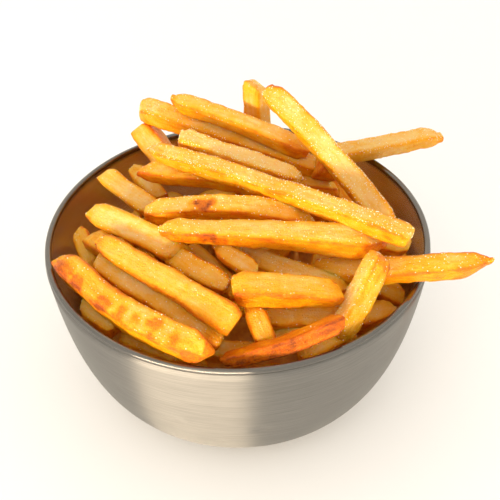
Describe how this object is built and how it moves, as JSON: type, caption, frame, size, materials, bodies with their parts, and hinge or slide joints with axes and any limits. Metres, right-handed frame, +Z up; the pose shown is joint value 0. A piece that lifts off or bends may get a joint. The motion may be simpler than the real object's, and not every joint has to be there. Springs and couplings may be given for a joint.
{
  "type": "french fries in a bowl",
  "caption": "Heap of thick-cut golden french fries in a round, deep stainless-steel bowl with a rolled rim; some fries lean over the edge.",
  "frame": {"origin": "middle of the bowl's flat base, on the surface it stands on", "axes": "+Z up along the bowl's axis, -Y towards the front, +X to the right seen from the front"},
  "size_m": [0.1729, 0.157, 0.1224],
  "materials": {
    "steel": "fine brushed lines running round the bowl, soft sheen",
    "fried_potato": null
  },
  "bodies": {
    "root": {"bowl": "steel", "fries": "fried_potato"}
  },
  "joints": []
}
